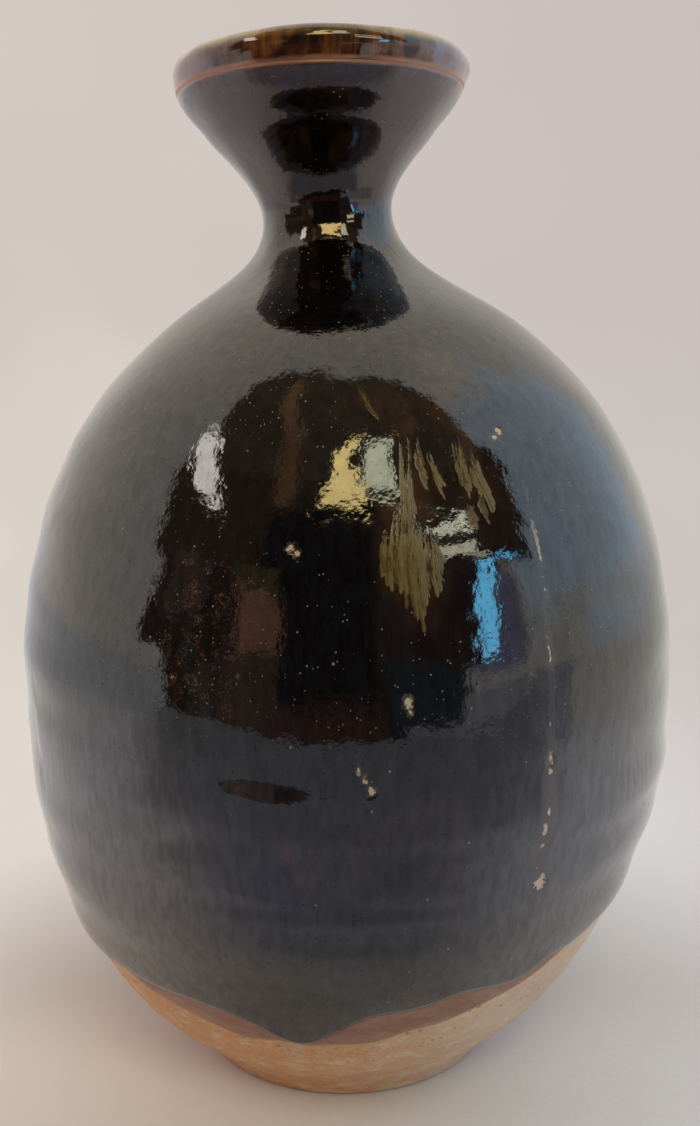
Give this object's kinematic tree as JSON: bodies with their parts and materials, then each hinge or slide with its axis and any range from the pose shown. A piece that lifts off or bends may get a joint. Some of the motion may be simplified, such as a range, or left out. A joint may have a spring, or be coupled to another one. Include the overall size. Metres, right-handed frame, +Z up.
{
  "type": "sake bottle",
  "caption": "Wheel-thrown stoneware sake bottle: egg-shaped belly, narrow throat and funnel mouth, dark glaze down to a wavy line above the bare clay foot.",
  "frame": {"origin": "centre of the base, on the surface that the bottle stands on", "axes": "+Z up through the mouth; the front, with the glaze's longest drip, faces -Y; the neck leans a little towards -X"},
  "size_m": [0.0884, 0.0884, 0.1355],
  "materials": {
    "bare_clay": "bare fired sandy clay, warm tan",
    "dark_glaze": "glossy iron black with a blue-grey bloom",
    "amber_glaze": "glossy translucent amber where the glaze is thin",
    "inner_glaze": "glossy dark brown",
    "iron_wash": "thin dull pinkish-brown iron wash",
    "ash_glaze": "glossy streaked olive gold"
  },
  "bodies": {
    "root": {"stoneware_body": "bare_clay", "outer_glaze": "dark_glaze", "lip_glaze": "amber_glaze", "liner_glaze": "inner_glaze", "wash_band": "iron_wash", "ash_glaze_runs": "ash_glaze"}
  },
  "joints": []
}
